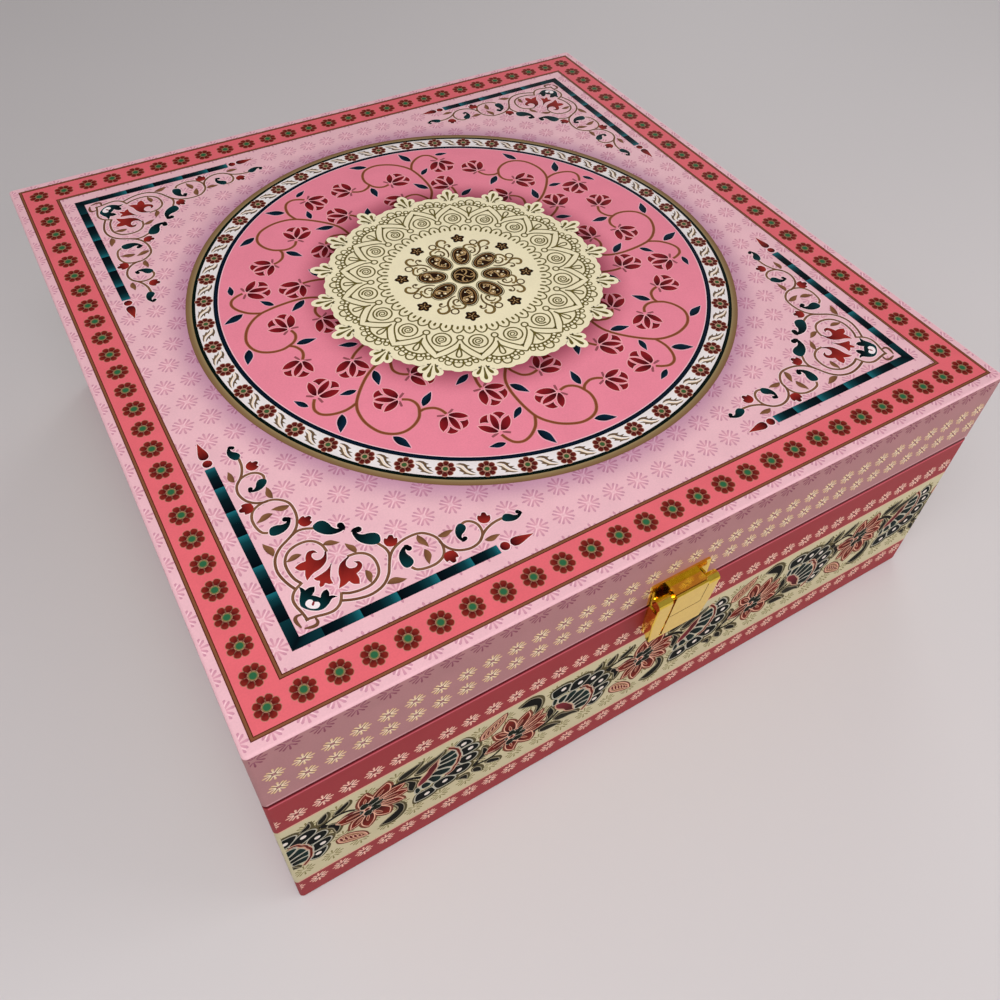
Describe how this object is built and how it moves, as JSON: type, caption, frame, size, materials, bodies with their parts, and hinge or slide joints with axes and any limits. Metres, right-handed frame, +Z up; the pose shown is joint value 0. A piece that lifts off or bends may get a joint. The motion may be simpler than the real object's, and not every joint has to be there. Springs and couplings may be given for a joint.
{
  "type": "sweet box",
  "caption": "Square paper-covered presentation box for sweets, with a hinged lid, a front snap clasp and a lift-out slotted divider.",
  "frame": {"origin": "centre of the square bottom face, on the surface the box stands on", "axes": "+Z up, -Y towards the clasp at the front, +X to the right seen from the front"},
  "size_m": [0.254, 0.2682, 0.1016],
  "materials": {
    "board": "raw fibreboard, sanded",
    "divider_board": "sanded fibreboard",
    "printed_lid_paper": "printed art paper, matt laminated",
    "printed_base_paper": "printed art paper, matt laminated",
    "lining_paper": "uncoated coloured paper",
    "bottom_card": "plain matt card",
    "plated_brass": "polished gold-coloured plating"
  },
  "bodies": {
    "base": {"base_floor": "board", "base_wall_front": "board", "base_wall_back": "board", "base_wall_left": "board", "base_wall_right": "board", "base_wrap": "printed_base_paper", "base_bottom_card": "bottom_card", "base_lining": "lining_paper", "clasp_strike": "plated_brass", "clasp_strike_nails": "plated_brass", "hinge_left_base_leaf": "plated_brass", "hinge_left_pin": "plated_brass", "hinge_right_base_leaf": "plated_brass", "hinge_right_pin": "plated_brass", "hinge_base_nails": "plated_brass"},
    "lid": {"lid_panel": "board", "lid_wall_front": "board", "lid_wall_back": "board", "lid_wall_left": "board", "lid_wall_right": "board", "lid_wrap": "printed_lid_paper", "lid_lining": "lining_paper", "hinge_left_lid_leaf": "plated_brass", "hinge_right_lid_leaf": "plated_brass", "hinge_lid_nails": "plated_brass", "clasp_lid_plate": "plated_brass", "clasp_pin": "plated_brass", "clasp_lid_nails": "plated_brass"},
    "clasp_flap": {"clasp_flap": "plated_brass"},
    "divider": {"divider_front": "divider_board", "divider_rear": "divider_board", "divider_left": "divider_board", "divider_right": "divider_board"}
  },
  "joints": [
    {"name": "lid_hinge", "type": "hinge", "parent": "base", "child": "lid", "pos_m": [0, 0.129, 0.0724], "axis": [-1, 0, 0], "range_deg": [0, 100]},
    {"name": "clasp_hinge", "type": "hinge", "parent": "lid", "child": "clasp_flap", "pos_m": [0, -0.13065, 0.0784], "axis": [-1, 0, 0], "range_deg": [0, 160]},
    {"name": "divider_lift", "type": "slide", "parent": "base", "child": "divider", "axis": [0, 0, 1], "range_m": [0, 0.036]}
  ]
}
